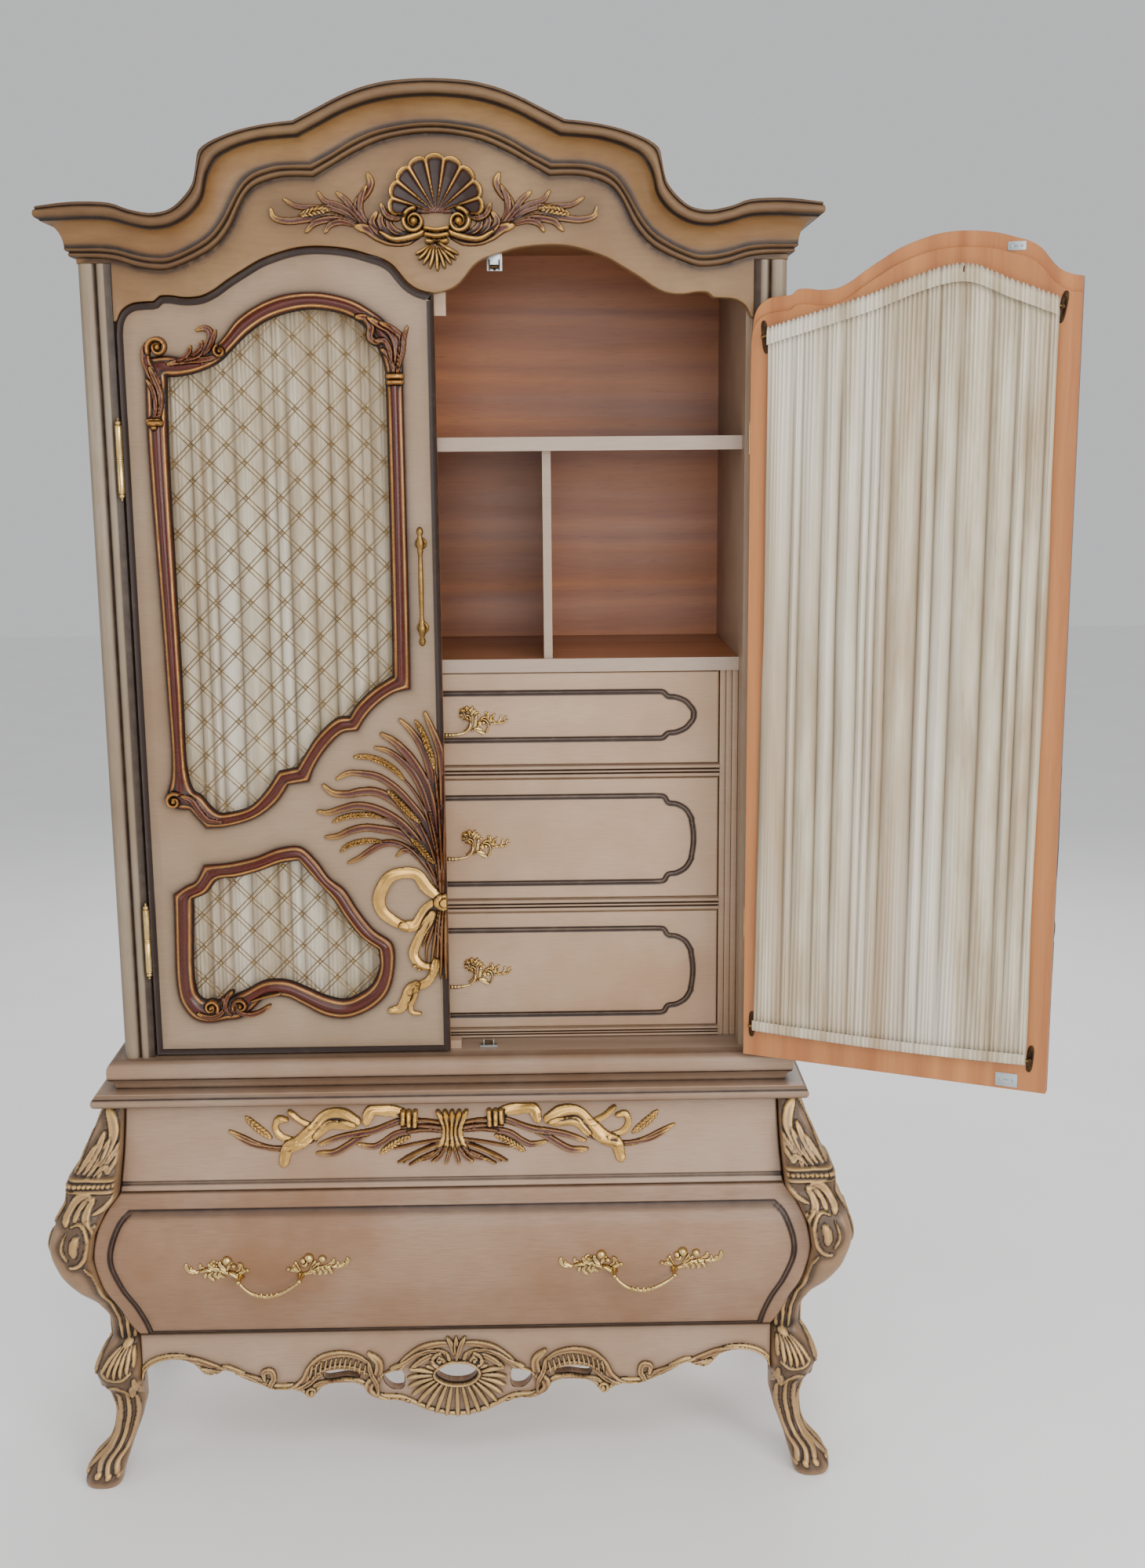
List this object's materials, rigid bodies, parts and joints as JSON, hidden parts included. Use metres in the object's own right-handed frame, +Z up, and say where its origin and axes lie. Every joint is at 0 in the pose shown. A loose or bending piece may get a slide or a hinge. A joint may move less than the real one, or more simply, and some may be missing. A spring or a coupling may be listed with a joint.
{
  "type": "armoire",
  "caption": "Tall free-standing armoire with an arched crown, two latticed and curtained doors, inner drawers and shelves, and a bombe drawer base on cabriole legs.",
  "frame": {"origin": "floor point below the centre of the closed upper doors' front faces", "axes": "+X to the viewer's right when facing the front, +Y towards the back (wall side), +Z up"},
  "size_m": [1.6253, 0.6853, 2.29],
  "materials": {
    "case_paint": "greige paint with brown glaze, semi-gloss",
    "glazed_moulding": "greige paint heavily glazed dark brown",
    "carved_gilt": "dark brown carved wood with gold highlights",
    "interior_wood": "brown stained wood, satin",
    "drawer_wood": "plain light wood",
    "bright_brass": "polished cast brass",
    "aged_brass": "aged bronze-brown brass",
    "zinc": "zinc plated",
    "sheer_cloth": "ivory sheer cotton"
  },
  "bodies": {
    "case": {"back_legs": "case_paint", "base_back_panel": "drawer_wood", "base_bottom_board": "drawer_wood", "base_dust_panel": "drawer_wood", "base_sides": "case_paint", "base_top_board": "case_paint", "corner_posts": "case_paint", "cornice": "glazed_moulding", "door_stop_blocks": "interior_wood", "drawer_bank_frame": "case_paint", "drawer_runners": "drawer_wood", "frieze_board": "case_paint", "front_apron": "case_paint", "front_legs": "case_paint", "hinge_leaves_fixed": "aged_brass", "middle_shelf": "interior_wood", "plinth_frame": "interior_wood", "roller_catches": "zinc", "shelf_dividers": "interior_wood", "shell_crest": "carved_gilt", "side_aprons": "case_paint", "upper_back_panel": "interior_wood", "upper_floor_board": "interior_wood", "upper_shelf": "case_paint", "upper_sides": "case_paint", "upper_top_board": "interior_wood", "waist_moulding": "case_paint"},
    "left_door": {"left_door_panel": "case_paint", "left_grille_mouldings": "carved_gilt", "left_wheat_sheaf": "carved_gilt", "left_lattice": "bright_brass", "left_curtain": "sheer_cloth", "left_curtain_rods": "aged_brass", "left_bar_pull": "aged_brass", "left_strike_plates": "zinc", "left_hinge_leaves": "aged_brass"},
    "right_door": {"right_door_panel": "case_paint", "right_grille_mouldings": "carved_gilt", "right_wheat_sheaf": "carved_gilt", "right_lattice": "bright_brass", "right_curtain": "sheer_cloth", "right_curtain_rods": "aged_brass", "right_bar_pull": "aged_brass", "right_strike_plates": "zinc", "right_hinge_leaves": "aged_brass"},
    "frieze_drawer": {"frieze_drawer_front": "case_paint", "frieze_drawer_carving": "carved_gilt", "frieze_drawer_box": "drawer_wood"},
    "lower_drawer": {"lower_drawer_front": "case_paint", "lower_drawer_box": "drawer_wood", "lower_drawer_pulls": "bright_brass"},
    "inner_drawer_top": {"inner_drawer_top_front": "case_paint", "inner_drawer_top_box": "drawer_wood", "inner_drawer_top_pull": "bright_brass"},
    "inner_drawer_middle": {"inner_drawer_middle_front": "case_paint", "inner_drawer_middle_box": "drawer_wood", "inner_drawer_middle_pull": "bright_brass"},
    "inner_drawer_bottom": {"inner_drawer_bottom_front": "case_paint", "inner_drawer_bottom_box": "drawer_wood", "inner_drawer_bottom_pull": "bright_brass"}
  },
  "joints": [
    {"name": "left_door_hinge", "type": "hinge", "parent": "case", "child": "left_door", "pos_m": [-0.497, -0.006, 0], "axis": [0, 0, -1], "range_deg": [0, 165]},
    {"name": "right_door_hinge", "type": "hinge", "parent": "case", "child": "right_door", "pos_m": [0.497, -0.006, 0], "axis": [0, 0, 1], "range_deg": [-155.7, 9.3]},
    {"name": "frieze_drawer_slide", "type": "slide", "parent": "case", "child": "frieze_drawer", "axis": [0, -1, 0], "range_m": [0, 0.33]},
    {"name": "lower_drawer_slide", "type": "slide", "parent": "case", "child": "lower_drawer", "axis": [0, -1, 0], "range_m": [0, 0.34]},
    {"name": "inner_drawer_top_slide", "type": "slide", "parent": "case", "child": "inner_drawer_top", "axis": [0, -1, 0], "range_m": [0, 0.01]},
    {"name": "inner_drawer_middle_slide", "type": "slide", "parent": "case", "child": "inner_drawer_middle", "axis": [0, -1, 0], "range_m": [0, 0.01]},
    {"name": "inner_drawer_bottom_slide", "type": "slide", "parent": "case", "child": "inner_drawer_bottom", "axis": [0, -1, 0], "range_m": [0, 0.01]}
  ]
}
